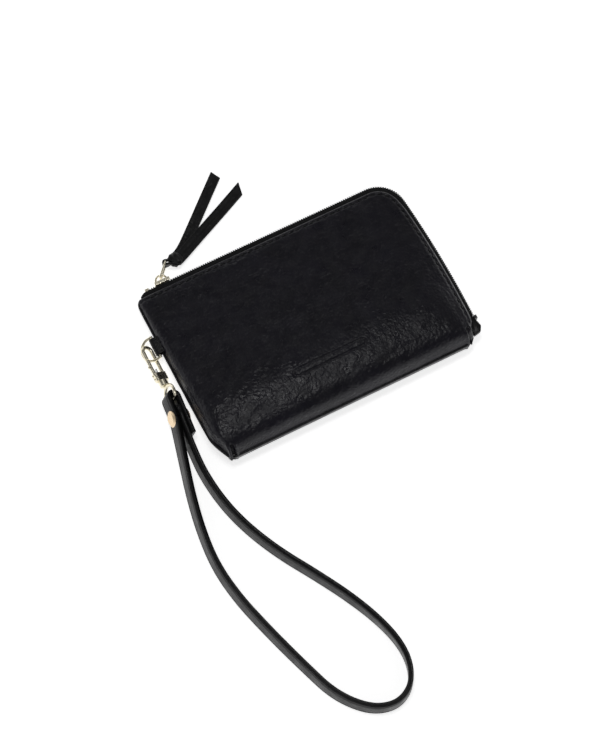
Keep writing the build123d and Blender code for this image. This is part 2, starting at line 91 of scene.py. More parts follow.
def run_along(line):
    """Distance along a line of points, from its first one."""
    return np.concatenate([[0], np.cumsum(np.linalg.norm(np.diff(line, axis=0), axis=1))])


def step(low, high, x):
    """Smooth ramp from 0 at low to 1 at high."""
    t = np.clip((np.asarray(x, float) - low) / (high - low), 0, 1)
    return t * t * (3 - 2 * t)


def tube_faces(count, size):
    """Faces of a closed tube of rings, with a cap on each end."""
    faces = []
    for i in range(count - 1):
        low, high = i * size, (i + 1) * size
        for j in range(size):
            k = (j + 1) % size
            faces.append((low + j, low + k, high + k, high + j))
    faces.append(tuple(range(size)))
    faces.append(tuple(range((count - 1) * size, count * size)))
    return faces


def sweep(path, profile, roll=0.0, slant=(0.0, 0.0)):
    """A profile of (side, up) points carried along a path, turned by roll."""
    path = np.asarray(path, float)
    count = len(path)
    tangent = unit(np.gradient(path, axis=0))
    side = unit(np.cross(tangent, UP))
    up = np.cross(side, tangent)
    roll = np.broadcast_to(np.asarray(roll, float), (count,))[:, None]
    across = side * np.cos(roll) + up * np.sin(roll)
    along = up * np.cos(roll) - side * np.sin(roll)
    profile = np.asarray(profile, float)
    if profile.ndim == 2:
        profile = np.broadcast_to(profile, (count,) + profile.shape)
    rings = path[:, None] + profile[:, :, :1] * across[:, None] + profile[:, :, 1:] * along[:, None]
    run = run_along(path)
    for end, amount, away in ((0, slant[0], run), (-1, slant[1], run[-1] - run)):
        share = np.clip(1 - away / SLANT_REACH, 0, 1)[:, None, None]
        rings += tangent[end] * (profile[:, :, 1:] * amount) * share
    return list(rings.reshape(-1, 3)), tube_faces(count, rings.shape[1])


def round_profile(radius, sides=8):
    angles = np.linspace(0, 2 * math.pi, sides, endpoint=False)
    return np.stack([np.cos(angles) * radius, np.sin(angles) * radius], axis=1)


def band_profile(thick, width, corner=0.5, groove=0.0, inset=1.1, crown=0.0):
    """Closed section of a flat strap: thickness across, width up, with creased edges."""
    half_t, half_w = thick / 2, width / 2
    side = []
    for z in np.linspace(-half_w + corner, half_w - corner, 13):
        dent = groove * math.exp(-(((half_w - abs(z)) - inset) / 0.3) ** 2)
        bulge = crown * (1 - (z / half_w) ** 2)
        side.append((half_t - dent + bulge, z))
    arc = [(half_t - corner + corner * math.cos(a), half_w - corner + corner * math.sin(a))
           for a in np.linspace(0.3, math.pi / 2, 4)]
    right = side + arc
    left = [(-x, -z) for x, z in right]
    return np.array(right + left)


def thick_grid(outer, inner):
    """Closed shell between two grids of points with the same layout."""
    rows, cols = outer.shape[:2]
    points = list(outer.reshape(-1, 3)) + list(inner.reshape(-1, 3))
    shift = rows * cols
    faces = []
    for r in range(rows - 1):
        for c in range(cols - 1):
            a = r * cols + c
            faces.append((a, a + 1, a + cols + 1, a + cols))
            faces.append((a + shift, a + cols + shift, a + cols + 1 + shift, a + 1 + shift))
    rim = [r * cols for r in range(rows)]
    rim += [(rows - 1) * cols + c for c in range(1, cols)]
    rim += [r * cols + cols - 1 for r in range(rows - 2, -1, -1)]
    rim += [c for c in range(cols - 2, 0, -1)]
    for a, b in zip(rim, rim[1:] + rim[:1]):
        faces.append((a, b, b + shift, a + shift))
    return points, faces


def grid_normals(grid):
    across = np.gradient(grid, axis=1)
    along = np.gradient(grid, axis=0)
    return unit(np.cross(across, along))


def field(grid_xy, scale, seed, octaves=2):
    """Smooth noise over plan points, about -1 to 1, with a size in millimetres."""
    flat = grid_xy.reshape(-1, 2) / scale
    values = [noise.fractal(Vector((p[0], p[1], seed)), 0.9, 2.0, octaves) for p in flat]
    return np.array(values).reshape(grid_xy.shape[:-1])


# --------------------------------------------------------------- materials ---
class Nodes:
    """Small wrapper that builds a Principled material node by node."""

    def __init__(self, name):
        self.material = bpy.data.materials.new(name)
        self.material.use_nodes = True
        self.tree = self.material.node_tree
        self.shader = self.tree.nodes["Principled BSDF"]
        self.place = self.add("ShaderNodeTexCoord").outputs["Object"]

    def add(self, kind, **values):
        node = self.tree.nodes.new(kind)
        for key, value in values.items():
            setattr(node, key, value)
        return node

    def link(self, source, target):
        self.tree.links.new(source, target)

    def mapped(self, scale=(1, 1, 1), turn=(0, 0, 0)):
        node = self.add("ShaderNodeMapping")
        self.link(self.place, node.inputs["Vector"])
        node.inputs["Scale"].default_value = scale
        node.inputs["Rotation"].default_value = turn
        return node.outputs["Vector"]

    def noise(self, scale, detail=3.0, rough=0.55, vector=None):
        node = self.add("ShaderNodeTexNoise")
        self.link(vector or self.place, node.inputs["Vector"])
        node.inputs["Scale"].default_value = scale
        node.inputs["Detail"].default_value = detail
        node.inputs["Roughness"].default_value = rough
        return node.outputs["Fac"]

    def warped(self, reach):
        """The object coordinates pushed about a little, so that cells lose their straight sides."""
        shift = self.add("ShaderNodeTexNoise")
        self.link(self.place, shift.inputs["Vector"])
        shift.inputs["Scale"].default_value = 420
        away = self.add("ShaderNodeVectorMath", operation="MULTIPLY_ADD")
        self.link(shift.outputs["Color"], away.inputs[0])
        away.inputs[1].default_value = (reach, reach, reach)
        self.link(self.place, away.inputs[2])
        return away.outputs["Vector"]

    def cells(self, scale, vector=None):
        node = self.add("ShaderNodeTexVoronoi", feature="DISTANCE_TO_EDGE")
        self.link(vector or self.place, node.inputs["Vector"])
        node.inputs["Scale"].default_value = scale
        return node.outputs["Distance"]

    def ramp(self, source, low, high, out_low=0.0, out_high=1.0):
        node = self.add("ShaderNodeMapRange")
        self.link(source, node.inputs["Value"])
        limits = (("From Min", low), ("From Max", high), ("To Min", out_low), ("To Max", out_high))
        for key, value in limits:
            node.inputs[key].default_value = value
        return node.outputs["Result"]

    def colours(self, source, stops):
        node = self.add("ShaderNodeValToRGB")
        self.link(source, node.inputs["Fac"])
        elements = node.color_ramp.elements
        while len(elements) < len(stops):
            elements.new(0.5)
        for element, (at, colour) in zip(elements, stops):
            element.position = at
            element.color = (*colour, 1)
        return node.outputs["Color"]

    def bumps(self, layers):
        """Stack of (height output, strength, distance in metres)."""
        normal = None
        for height, strength, distance in layers:
            node = self.add("ShaderNodeBump")
            node.inputs["Strength"].default_value = strength
            node.inputs["Distance"].default_value = distance
            self.link(height, node.inputs["Height"])
            if normal is not None:
                self.link(normal, node.inputs["Normal"])
            normal = node.outputs["Normal"]
        self.link(normal, self.shader.inputs["Normal"])

    def set(self, **values):
        for key, value in values.items():
            self.shader.inputs[key.replace("_", " ")].default_value = value


def leather(name, dark, light, rough, grain, depth, gloss=0.2):
    """Grained leather of waves, slanting folds, pebbles and pores; grain is in cells a metre."""
    n = Nodes(name)
    blotch = n.noise(70, 4)
    n.link(n.colours(blotch, [(0.3, dark), (0.75, light)]), n.shader.inputs["Base Color"])
    shine = n.ramp(n.noise(160, 4), 0.3, 0.7, rough - 0.07, rough + 0.1)
    n.link(shine, n.shader.inputs["Roughness"])
    cells = n.ramp(n.cells(grain, vector=n.warped(0.0012)), 0.0, 0.4)
    pores = n.ramp(n.cells(grain * 4), 0.0, 0.3)
    folds = n.noise(260, 5, 0.6, n.mapped((1.0, 0.45, 1.0), (0, 0, 0.7)))
    waves = n.noise(85, 3, 0.5, n.mapped((0.5, 1.0, 1.0), (0, 0, -0.5)))
    n.bumps([
        (waves, 0.7 * depth, 0.0010),
        (folds, 0.8 * depth, 0.0007),
        (cells, 1.0 * depth, 0.00012),
        (pores, 0.2 * depth, 0.00002),
    ])
    n.set(Specular_IOR_Level=gloss)
    return n.material


def metal(name, colour, shade, rough, brushed=0.0):
    n = Nodes(name)
    tint = n.noise(240, 3)
    n.link(n.colours(tint, [(0.3, shade), (0.7, colour)]), n.shader.inputs["Base Color"])
    wear = n.ramp(n.noise(900, 4, 0.6), 0.3, 0.75, rough, rough + 0.1)
    n.link(wear, n.shader.inputs["Roughness"])
    fine = n.noise(3200, 2, 0.5, n.mapped((1.0, 0.12 if brushed else 1.0, 1.0)))
    n.bumps([(fine, 0.03 + brushed, 0.00001)])
    n.set(Metallic=1.0)
    return n.material


def cloth(name, dark, light, pitch, rough=0.85):
    """Plain weave of two crossing sets of ribs."""
    n = Nodes(name)
    warp = n.add("ShaderNodeTexWave", wave_type="BANDS", bands_direction="X")
    weft = n.add("ShaderNodeTexWave", wave_type="BANDS", bands_direction="Y")
    for wave in (warp, weft):
        n.link(n.place, wave.inputs["Vector"])
        wave.inputs["Scale"].default_value = pitch
        wave.inputs["Distortion"].default_value = 0.4
    both = n.add("ShaderNodeMath", operation="MULTIPLY")
    n.link(warp.outputs["Fac"], both.inputs[0])
    n.link(weft.outputs["Fac"], both.inputs[1])
    n.link(n.colours(both.outputs[0], [(0.0, dark), (0.8, light)]), n.shader.inputs["Base Color"])
    n.link(n.ramp(n.noise(900, 3), 0.3, 0.7, rough - 0.08, rough + 0.08), n.shader.inputs["Roughness"])
    n.bumps([(both.outputs[0], 0.6, 0.00012), (n.noise(2500, 2), 0.3, 0.00005)])
    n.set(Sheen_Weight=0.25, Sheen_Roughness=0.4, Specular_IOR_Level=0.25)
    return n.material


def plastic(name, dark, light, rough):
    n = Nodes(name)
    n.link(n.colours(n.noise(500, 3), [(0.3, dark), (0.7, light)]), n.shader.inputs["Base Color"])
    n.link(n.ramp(n.noise(1200, 3), 0.3, 0.7, rough, rough + 0.12), n.shader.inputs["Roughness"])
    n.bumps([(n.noise(2600, 3), 0.2, 0.00004)])
    n.set(Specular_IOR_Level=0.5)
    return n.material


BLACK = leather(
    "black_leather", (0.0038, 0.0034, 0.0068), (0.0072, 0.0064, 0.0125), 0.34, 430.0, 0.9, 0.3)
EDGE_BLACK = leather(
    "leather_edge", (0.006, 0.006, 0.007), (0.013, 0.013, 0.0145), 0.34, 700.0, 0.4)
STRAP_BLACK = leather(
    "black_strap", (0.0045, 0.0045, 0.005), (0.010, 0.010, 0.011), 0.32, 700.0, 0.35)
PULL_BLACK = leather(
    "pull_leather", (0.006, 0.006, 0.0065), (0.013, 0.013, 0.014), 0.36, 600.0, 0.6)
THREAD = cloth("thread", (0.004, 0.004, 0.0045), (0.02, 0.02, 0.021), 1400.0, 0.7)
TAPE = cloth("zip_tape", (0.005, 0.005, 0.006), (0.016, 0.016, 0.017), 700.0)
LINING = cloth("lining_cloth", (0.03, 0.03, 0.034), (0.07, 0.07, 0.075), 420.0)
COIL = plastic("zip_coil", (0.008, 0.008, 0.008), (0.02, 0.02, 0.021), 0.3)
PALE_GOLD = metal("pale_gold", (0.90, 0.85, 0.70), (0.80, 0.74, 0.58), 0.22)
WARM_GOLD = metal("warm_gold", (0.88, 0.70, 0.48), (0.78, 0.60, 0.40), 0.24, 0.1)
STEEL = metal("spring_steel", (0.62, 0.62, 0.62), (0.45, 0.45, 0.46), 0.25, 0.2)

CAD_MATERIALS = {
    "zip_top_stops": PALE_GOLD,
    "zip_bottom_stop": COIL,
    "d_ring": PALE_GOLD,
    "snap_hook_body": PALE_GOLD,
    "hook_gate": PALE_GOLD,
    "gate_pin": STEEL,
    "gate_spring": STEEL,
    "swivel_eye": PALE_GOLD,
    "strap_rivet": WARM_GOLD,
    "rivet_back_cap": WARM_GOLD,
    "slider_body": PALE_GOLD,
    "slider_bridge": PALE_GOLD,
    "pull_link": PALE_GOLD,
}
for node_name, node_material in CAD_MATERIALS.items():
    for material_slot in nodes[node_name].material_slots:
        material_slot.material = node_material

# ------------------------------------------------------------- wrist strap ---
STRAP_W = 9.4
STRAP_T = 2.5
FOLD_R = 2.55
STRAP_TILT = math.radians(23)
EYE_BAR = np.array([-84.9, -9.8, 6.6])
STRAP_DIR = unit([-0.08, -1.0, 0.0])
STRAP_OUT = -np.cross(UP, STRAP_DIR)
STRAP_FACE = STRAP_OUT * math.cos(STRAP_TILT) + UP * math.sin(STRAP_TILT)
EYE_AXIS = UP * math.cos(STRAP_TILT) - STRAP_OUT * math.sin(STRAP_TILT)
RIVET_RUN = 10.6
TAIL_END = 21.5
MIDDLE_END = 5.0
ROUTE_STEPS = 10
LEAN_AT = [0, 0.06, 0.18, 0.34, 0.46, 0.56, 0.66, 0.82, 0.94, 1]
LEAN_DEGREES = [23, 20, 15, 13, 9, -2, -9, -12, -16, -23]
STRAP_ROUTE = [
    (-93.2, -40, 5.7), (-98.4, -60, 4.9), (-102, -79.5, 4.9), (-103.4, -99, 4.9),
    (-100.8, -118, 4.9), (-96.4, -134.5, 4.9), (-91.4, -151, 4.9), (-86.4, -166, 4.9),
    (-81.5, -180, 4.9), (-74, -191, 4.9), (-65, -198.4, 4.9), (-54.5, -200.4, 4.9),
    (-45.4, -195.5, 4.9), (-40.6, -185.5, 4.9), (-40.4, -173, 4.9), (-44.6, -158, 4.9),
    (-52, -141.5, 4.9), (-61.8, -124, 4.9), (-71.8, -107.5, 4.9), (-80, -90, 4.9),
    (-85.3, -73, 4.9), (-87.8, -55, 5.2), (-87.4, -40, 5.7),
]


def nurbs_points(points):
    """Points read from a smooth NURBS spline with these control points, in metres."""
    curve = bpy.data.curves.new("route", "CURVE")
    curve.dimensions = "3D"
    spline = curve.splines.new("NURBS")
    spline.points.add(len(points) - 1)
    for point, place in zip(spline.points, points):
        point.co = (*place, 1)
    spline.order_u = 3
    spline.use_endpoint_u = True
    spline.resolution_u = ROUTE_STEPS
    route = bpy.data.objects.new("route", curve)
    bpy.context.collection.objects.link(route)
    bpy.context.view_layer.update()
    line = bpy.data.meshes.new_from_object(route)
    found = [tuple(v.co) for v in line.vertices]
    bpy.data.objects.remove(route)
    bpy.data.curves.remove(curve)
    bpy.data.meshes.remove(line)
    return found


def fold_point(run, off):
    return EYE_BAR + STRAP_DIR * run + STRAP_FACE * off


route_mm = [fold_point(RIVET_RUN, FOLD_R), *STRAP_ROUTE, fold_point(MIDDLE_END, 0.0)]
strap_path = nurbs_points([tuple(np.array(p) * MM) for p in route_mm])
strap_mm = np.array(strap_path) / MM
strap_run = run_along(strap_mm)
strap_length = strap_run[-1]
strap_roll = np.radians(np.interp(strap_run / strap_length, LEAN_AT, LEAN_DEGREES))
strap_section = band_profile(
    STRAP_T, STRAP_W, corner=0.55, groove=0.36, inset=1.3, crown=0.12)
strap_loop = mesh_object("wrist_strap_loop", *sweep(strap_mm, strap_section, strap_roll), STRAP_BLACK)


def fold_path():
    """Centre line of the tail, the turn round the eye's bar and the run to the rivet."""
    places = [fold_point(r, -FOLD_R) for r in np.linspace(TAIL_END, 0, 15)]
    for a in np.linspace(0, math.pi, 17)[1:-1]:
        places.append(fold_point(-FOLD_R * math.sin(a), -FOLD_R * math.cos(a)))
    places += [fold_point(r, FOLD_R) for r in np.linspace(0, RIVET_RUN, 8)]
    return np.array(places)


def swept_in_plane(path, section, width_axis):
    """A section of (thickness, width) carried along a path that keeps one width axis."""
    tangent = unit(np.gradient(path, axis=0))
    across = unit(np.cross(tangent, width_axis))
    section = np.asarray(section)
    rings = path[:, None] + section[None, :, :1] * across[:, None] + section[None, :, 1:] * width_axis
    return list(rings.reshape(-1, 3)), tube_faces(*rings.shape[:2])


fold_mesh = swept_in_plane(fold_path(), strap_section, EYE_AXIS)
strap_fold = mesh_object("wrist_strap_fold", *fold_mesh, STRAP_BLACK)
for strap_piece in (strap_loop, strap_fold):
    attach(strap_piece, "strap")
    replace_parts(strap_piece, "wrist_strap")

# ------------------------------------------------------------- pouch shape ---
SEAM_X = -77.5
ZIP_X = 74.0
ZIP_Y = 51.6
BASE_Y = -53.0
CORNER_R = 16.0
CORNER_X = ZIP_X - CORNER_R
CORNER_Y = ZIP_Y - CORNER_R
LEFT_CUT = ((SEAM_X, -39.0), (-72.0, BASE_Y))
RIGHT_CUT = ((ZIP_X, -38.0), (66.0, BASE_Y))
CORNER_SEAMS = (-70.0, 65.6)
PART_Z = 4.6
PART_SLOPE = 0.047
BASE_T = 22.0
BASE_FOLD_Y = -46.0
FRONT_SLOPE = 0.145
FRONT_INSET = 4.2
BACK_INSET = 2.6
LEATHER = 1.3
LINING_OUTER = 2.2
LINING_INNER = 2.6
TURN_R = 0.95
STITCH_IN = 2.1
ROUND_R = 3.2
STITCH_PITCH = 4.0
STITCH_LEN = 2.7
STITCH_R = 0.27


def part_z(y):
    return PART_Z + PART_SLOPE * (ZIP_Y - y)


def soft_min(layers, k):
    stack = np.stack([-np.asarray(layer) / k for layer in np.broadcast_arrays(*layers)])
    top = stack.max(axis=0)
    return -k * (top + np.log(np.exp(stack - top).sum(axis=0)))


def bowed(points, edge=0.0):
    """The zipped side stands out a little at its middle; edge moves the leather's rim out."""
    moved = np.array(points, float)
    x, y = moved[..., 0], moved[..., 1]
    bow = 1.3 * np.clip(1 - ((y + 3) / 40) ** 2, 0, 1) * step(40, 72, x)
    rim = edge * step(58, 69, x) * (1 - step(28, 42, y)) * step(-50, -40, y)
    moved[..., 0] = x + bow + rim
    return moved


def cut_distance(x, y, cut):
    """How far inside a slanting plan line at a boxed corner a point is."""
    (x1, y1), (x2, y2) = cut
    outward = np.array([-abs(y2 - y1) if x1 < 0 else abs(y2 - y1), -abs(x2 - x1)])
    outward = outward / np.linalg.norm(outward)
    return -((x - x1) * outward[0] + (y - y1) * outward[1])


def zip_inset(x, y):
    """Distance inwards from the zipped outline: top edge, round corner, right edge."""
    corner = CORNER_R - np.hypot(x - CORNER_X, y - CORNER_Y)
    straight = np.minimum(ZIP_X - x, ZIP_Y - y)
    return np.where((x > CORNER_X) & (y > CORNER_Y), corner, straight)


def zip_run(x, y):
    """Distance along the zip, for features that repeat with the stitches."""
    radius = CORNER_R - FRONT_INSET - STITCH_IN
    angle = np.arctan2(np.maximum(x - CORNER_X, 0), np.maximum(y - CORNER_Y, 1e-6))
    corner = CORNER_X + radius * angle
    right = CORNER_X + radius * math.pi / 2 + (CORNER_Y - y)
    below = np.where(ZIP_X - x < ZIP_Y - y, right, x)
    above = np.where(x > CORNER_X, corner, x)
    return np.where(y < CORNER_Y, below, above)


def front_form(x, y):
    """Height of the puffed front panel, before its fine creases."""
    side = x - SEAM_X
    front = BASE_T - FRONT_SLOPE * (y - BASE_FOLD_Y)
    across = np.clip(1 - ((x + 4) / 72) ** 2, 0, 1)
    front = front + 0.9 * across * np.clip(1 - ((y + 6) / 46) ** 2, 0, 1)
    belly = 1.6 * across ** 0.5 * np.exp(-((y + 22) / 20) ** 2)
    front = front + belly - 0.0062 * np.maximum(-24 - y, 0) ** 2
    broad = [
        front,
        part_z(y) + 3.5 + 0.67 * (73 - x),
        part_z(y) + 1.5 + 0.06 * (47 - y) + 1.2 * side,
    ]
    tight = [
        soft_min(broad + [17 + 1.11 * (y + 50.5)], 1.7),
        part_z(BASE_Y) + 3.04 * (y - BASE_Y),
        part_z(y) + 4.5 * side,
        part_z(y) + 4.5 * np.maximum(cut_distance(x, y, LEFT_CUT), 0),
        part_z(y) + 4.5 * np.maximum(cut_distance(x, y, RIGHT_CUT), 0),
    ]
    return np.maximum(soft_min(tight, 1.2), part_z(y))


def back_form(x, y):
    """Height of the back panel, flat on the floor and turned up at its edges."""
    side = x - SEAM_X
    layers = [
        -np.zeros_like(x),
        -(part_z(BASE_Y) - 6.5 * (y - BASE_Y)),
        -(part_z(y) - 1.2 * side),
        -(part_z(y) - 6.0 * np.maximum(cut_distance(x, y, LEFT_CUT), 0)),
        -(part_z(y) - 4.0 * np.maximum(cut_distance(x, y, RIGHT_CUT), 0)),
    ]
    height = -soft_min(layers, 0.45)
    rise = 0.9 * (1 - step(0, 5, zip_inset(x, y) - BACK_INSET))
    return np.minimum(height + rise, part_z(y))


MARK_AT = (-5.0, -30.6)
MARK_HALF = (21.0, 2.3)
CREASES = [
    # plan start, plan end, depth, half width
    ((-66, -43), (-47, -24), 0.35, 1.7),
    ((-69, -38), (-58, -17), 0.30, 1.5),
    ((-60, -45), (-36, -36), 0.30, 1.6),
    ((-72, -20), (-60, 2), 0.22, 1.6),
    ((52, -28), (64, -12), 0.28, 1.4),
    ((45, -40), (63, -34), 0.30, 1.5),
    ((57, -20), (66, -2), 0.22, 1.2),
    ((10, -44), (44, -42), 0.22, 1.6),
    ((-30, 8), (2, 22), 0.16, 2.2),
    ((20, 6), (46, 24), 0.16, 2.2),
    ((-52, 28), (-30, 40), 0.16, 2.0),
]


def crease_depth(x, y):
    total = np.zeros_like(x)
    for index, ((x1, y1), (x2, y2), depth, width) in enumerate(CREASES):
        run = np.array([x2 - x1, y2 - y1], float)
        length = np.linalg.norm(run)
        run /= length
        along = (x - x1) * run[0] + (y - y1) * run[1]
        across = -(x - x1) * run[1] + (y - y1) * run[0] + 1.2 * np.sin(along / 4.5 + index)
        fade = np.clip(along / length, 0, 1)
        fade = np.sin(fade * math.pi) ** 0.8
        valley = np.exp(-(across / width) ** 2)
        lip = np.exp(-((across - 2 * width) / width) ** 2)
        total += 0.7 * depth * fade * (valley - 0.5 * lip)
    return total


def front_detail(x, y):
    """Everything pressed or creased into the front panel, as a height to add."""
    plan = np.stack([x, y], axis=-1)
    turned = np.stack([x * 0.8 + y * 0.6, (y * 0.8 - x * 0.6) * 2.1], axis=-1)
    soft = 0.4 * field(plan, 42.0, 3.1) + 0.1 * field(turned, 15.0, 7.7)
    soft = soft + 0.045 * field(turned, 4.0, 1.3)
    lower = 0.11 * field(turned, 6.0, 5.0) * (1 - step(-35, -5, y))
    height = soft + lower - crease_depth(x, y)
    edge = zip_inset(x, y) - FRONT_INSET
    height *= step(1.5, 9, edge) * 0.85 + 0.15
    stitch = np.cos(2 * math.pi * (zip_run(x, y) - CORNER_X) / STITCH_PITCH + math.pi)
    height += -(0.34 + 0.24 * stitch) * np.exp(-((edge - STITCH_IN) / 0.55) ** 2)
    height += 0.16 * np.exp(-((edge - 1.1) / 0.55) ** 2) + 0.12 * np.exp(-((edge - 3.4) / 0.7) ** 2)
    qx = np.abs(x - MARK_AT[0]) - (MARK_HALF[0] - MARK_HALF[1])
    qy = np.abs(y - MARK_AT[1])
    bar = np.hypot(np.maximum(qx, 0), qy) - MARK_HALF[1]
    height -= 0.5 * np.exp(-((bar + 0.55) / 0.5) ** 2)
    return height


def corner_seam_dent(x, y, z):
    """The upright seams of the two boxed corners: a groove between two soft lips."""
    total = np.zeros_like(x)
    for at in CORNER_SEAMS:
        d = x - at
        fade = (1 - step(-47.4, -45.6, y)) * (1 - step(16.6, 18.4, z))
        total += fade * (-1.5 * np.exp(-(d / 0.7) ** 2) + 0.7 * np.exp(-((np.abs(d) - 1.7) / 0.7) ** 2))
    return total


def spread(marks):
    """Grid stations from (position, spacing there) marks, smoothly graded."""
    places = [marks[0][0]]
    positions = [m[0] for m in marks]
    gaps = [m[1] for m in marks]
    while places[-1] < marks[-1][0]:
        places.append(places[-1] + float(np.interp(places[-1], positions, gaps)))
    places = np.array(places)
    return (places - places[0]) / (places[-1] - places[0])


def left_edge(y):
    (x1, y1), (x2, y2) = LEFT_CUT
    reach = np.clip(y - (ZIP_Y - FRONT_INSET - ROUND_R), 0, ROUND_R)
    return np.interp(y, [y2, y1], [x2, x1]) + ROUND_R - np.sqrt(ROUND_R ** 2 - reach ** 2)


def right_edge(y, inset):
    (x1, y1), (x2, y2) = RIGHT_CUT
    radius = CORNER_R - inset
    corner = CORNER_X + np.sqrt(np.maximum(radius ** 2 - np.maximum(y - CORNER_Y, 0) ** 2, 0))
    cut = np.interp(y, [y2, y1], [x2, x1])
    return np.minimum(corner, cut)


def panel_grid(inset, form, detail, fine=1.0):
    """Plan stations of a panel and its height there, plus the plain form below."""
    top = ZIP_Y - inset
    rows = spread([
        (BASE_Y, 0.17 * fine), (-50, 0.2 * fine), (-46, 0.4 * fine), (-40, 0.6 * fine),
        (-34, 0.34 * fine), (-27, 0.34 * fine), (-24, 0.6 * fine), (38, 0.6 * fine),
        (43, 0.3 * fine), (top - 1.2, 0.22 * fine),
        (top - 0.3, 0.08 * fine), (top, 0.05 * fine),
    ])
    columns = spread([
        (SEAM_X, 0.2 * fine), (-74, 0.3 * fine), (-70, 0.4 * fine), (-62, 0.62 * fine),
        (-30, 0.62 * fine),
        (-26, 0.36 * fine), (16, 0.36 * fine), (20, 0.62 * fine), (60, 0.5 * fine), (66, 0.3 * fine),
        (68.6, 0.22 * fine), (69.5, 0.08 * fine), (69.8, 0.05 * fine),
    ])
    y = BASE_Y + rows * (top - BASE_Y)
    low, high = left_edge(y)[:, None], right_edge(y, inset)[:, None]
    x = low + columns[None, :] * (high - low)
    y = np.broadcast_to(y[:, None], x.shape).copy()
    base = form(x, y)
    plain = np.stack([x, y, base], axis=-1)
    shown = plain.copy()
    shown[..., 2] += detail(x, y)
    return plain, shown


def turned_edge(grid, inset, radius):
    """Rounds the zipped edge of a panel over, as a turned hem is."""
    edge = np.maximum(zip_inset(grid[..., 0], grid[..., 1]) - inset, 0)
    reach = np.clip(radius - edge, 0, radius)
    return radius - np.sqrt(np.maximum(radius ** 2 - reach ** 2, 0))


front_plain, front_shown = panel_grid(FRONT_INSET, front_form, front_detail)
front_normals = grid_normals(front_plain)
dent = corner_seam_dent(front_shown[..., 0], front_shown[..., 1], front_shown[..., 2])
front_shown = front_shown + front_normals * dent[..., None]
front_shown[..., 2] = np.maximum(front_shown[..., 2], part_z(front_shown[..., 1]) - 0.2)
front_shown[..., 2] -= turned_edge(front_plain, FRONT_INSET, TURN_R)
front_inner = front_plain - front_normals * (LEATHER + 0.55)
front_inner[..., 2] = np.minimum(front_inner[..., 2], front_shown[..., 2] - 0.35)
front_mesh = thick_grid(bowed(front_shown, 1.0), bowed(front_inner, 1.0))
front_piece = mesh_object("front_leather", *front_mesh, BLACK)
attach(front_piece, "pouch")
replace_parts(front_piece, "front_panel")


def back_detail(x, y):
    plan = np.stack([x, y], axis=-1)
    lifted = step(0.3, 2.5, back_form(x, y))
    return 0.1 * np.abs(field(plan, 12.0, 9.0)) * lifted


back_plain, back_shown = panel_grid(BACK_INSET, back_form, back_detail, 1.5)
back_normals = grid_normals(back_plain)
dent = corner_seam_dent(back_shown[..., 0], back_shown[..., 1], 0 * back_shown[..., 2])
back_shown = back_shown - back_normals * dent[..., None] * step(0.2, 2.0, back_plain[..., 2])[..., None]
back_shown[..., 2] = np.maximum(back_shown[..., 2], 0.0)
back_shown[..., 2] += turned_edge(back_plain, BACK_INSET, 0.6)
back_inner = back_plain + back_normals * LEATHER
back_inner[..., 2] = np.maximum(back_inner[..., 2], back_shown[..., 2] + 0.3)
back_piece = mesh_object("back_leather", *thick_grid(bowed(back_shown), bowed(back_inner)), BLACK)
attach(back_piece, "pouch")
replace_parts(back_piece, "back_panel")


def lining_piece(name, plain, normals, sign):
    """Cloth layer a little way inside a leather panel."""
    some = plain[::4, ::4]
    away = normals[::4, ::4] * sign
    outer = some - away * LINING_OUTER
    inner = some - away * LINING_INNER
    piece = mesh_object(name, *thick_grid(bowed(outer), bowed(inner)), LINING)
    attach(piece, "pouch")
    return piece


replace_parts(lining_piece("front_lining_cloth", front_plain, front_normals, 1), "front_lining")
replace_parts(lining_piece("back_lining_cloth", back_plain, back_normals, -1), "back_lining")


# ---------------------------------------------------------- seams and hems ---
def smooth_line(points, passes=3):
    """A line with its corners cut, ends kept."""
    line = np.asarray(points, float)
    for _ in range(passes):
        near = line[:-1] * 0.75 + line[1:] * 0.25
        far = line[:-1] * 0.25 + line[1:] * 0.75
        mixed = np.empty((2 * len(near), line.shape[1]))
        mixed[0::2] = near
        mixed[1::2] = far
        line = np.vstack([line[:1], mixed, line[-1:]])
    return line


def even_line(points, gap):
    """The same line with stations at an even gap."""
    line = np.asarray(points, float)
    run = run_along(line)
    count = max(int(run[-1] / gap), 2)
    at = np.linspace(0, run[-1], count + 1)
    return np.stack([np.interp(at, run, line[:, k]) for k in range(line.shape[1])], axis=1)


def on_seam(points):
    return [(x, y, part_z(y)) for x, y in points]


def seam_roll(name, points, node, radius):
    """Two turned leather edges pressed together, as a bead with a groove."""
    gap = 0.9
    line = even_line(smooth_line(on_seam(points)), gap)
    angles = np.linspace(0, 2 * math.pi, 20, endpoint=False)
    pinch = 1 - 0.34 * np.exp(-(np.sin(angles) / 0.28) ** 2)
    section = np.stack([np.cos(angles) * radius * pinch, np.sin(angles) * radius * 1.25], axis=1)
    run = np.arange(len(line)) * gap
    swell = np.array([1 + 0.1 * noise.noise(Vector((r / 6.0, radius, 0.5))) for r in run])
    ends = np.minimum(step(-0.5, 2.0, run), step(-0.5, 2.0, run[-1] - run)) * 0.7 + 0.3
    sections = section[None] * (swell * ends)[:, None, None]
    piece = mesh_object(name, *sweep(line, sections), EDGE_BLACK)
    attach(piece, "pouch")
    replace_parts(piece, node)
    return piece


SIDE_SEAM = [(-73.6, 48.0), (-75.6, 47.4), (-77.2, 45.4), (SEAM_X, 41), (SEAM_X, -36),
             (-76.6, -42.2), (-72.2, -52.4)]
BOTTOM_SEAM = [(-71.4, -52.8), (-66, -52.95), (60, -52.95), (65.2, -52.8)]
RIGHT_SEAM = [(66.2, -52.4), (68.4, -48.3), (70.0, -45.0)]
seam_roll("side_seam_roll", SIDE_SEAM, "side_seam", 0.85)
seam_roll("bottom_seam_roll", BOTTOM_SEAM, "bottom_seam", 0.8)
seam_roll("right_corner_roll", RIGHT_SEAM, "right_corner_seam", 0.75)


